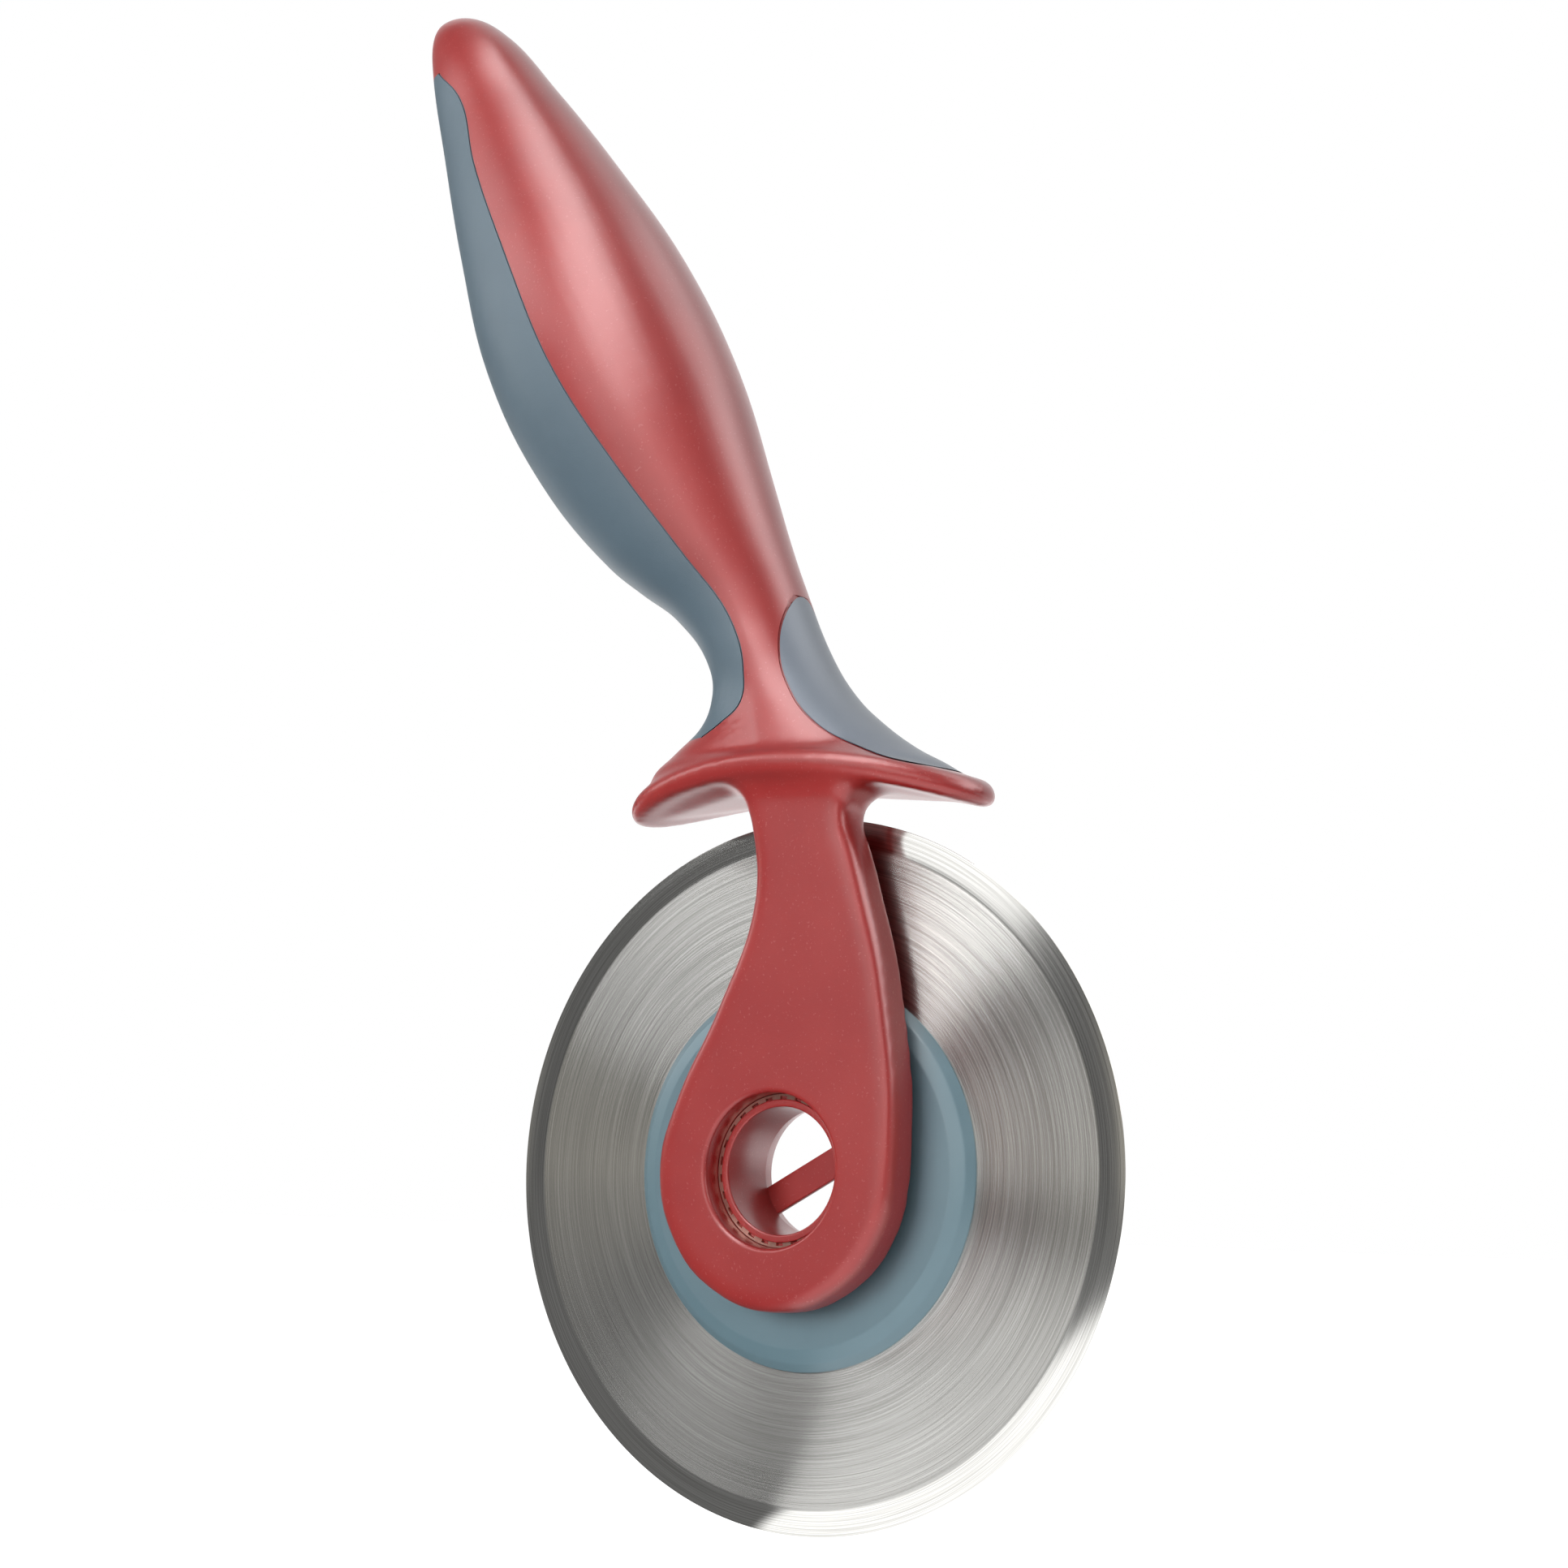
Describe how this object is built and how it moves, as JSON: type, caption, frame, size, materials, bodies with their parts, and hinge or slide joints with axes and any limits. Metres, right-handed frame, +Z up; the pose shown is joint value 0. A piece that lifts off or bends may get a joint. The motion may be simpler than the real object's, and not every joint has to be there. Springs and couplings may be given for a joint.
{
  "type": "pizza cutter wheel",
  "caption": "Hand-held pizza cutter with a bevelled steel wheel on one flat arm, an umbrella finger guard and a leaning handle with soft grips.",
  "frame": {"origin": "centre of the wheel, on its axis and in the middle of the blade's thickness", "axes": "+Z up along the blade's plane towards the guard and the handle, Y along the wheel's axis with the arm on the -Y side, the handle leans towards -X"},
  "size_m": [0.13, 0.0314, 0.2393],
  "materials": {
    "red_plastic": "satin moulded",
    "core_plastic": "as moulded",
    "soft_grip": "matte soft moulding",
    "ring_steel": "bright spring steel",
    "washer_plastic": "smooth natural",
    "blade_steel": "brushed round its centre, with a ground bevel",
    "hub_plastic": "smooth satin"
  },
  "bodies": {
    "frame": {"handle_shell": "red_plastic", "handle_core": "core_plastic", "finger_grip": "soft_grip", "thumb_pad": "soft_grip", "axle": "red_plastic", "lock_ring": "ring_steel", "front_washer": "washer_plastic", "rear_washer": "washer_plastic"},
    "wheel": {"blade": "blade_steel", "hub_front": "hub_plastic", "hub_rear": "hub_plastic"}
  },
  "joints": [
    {"name": "wheel_spin", "type": "hinge", "parent": "frame", "child": "wheel", "pos_m": [0, 0, 0], "axis": [0, 1, 0], "continuous": true}
  ]
}
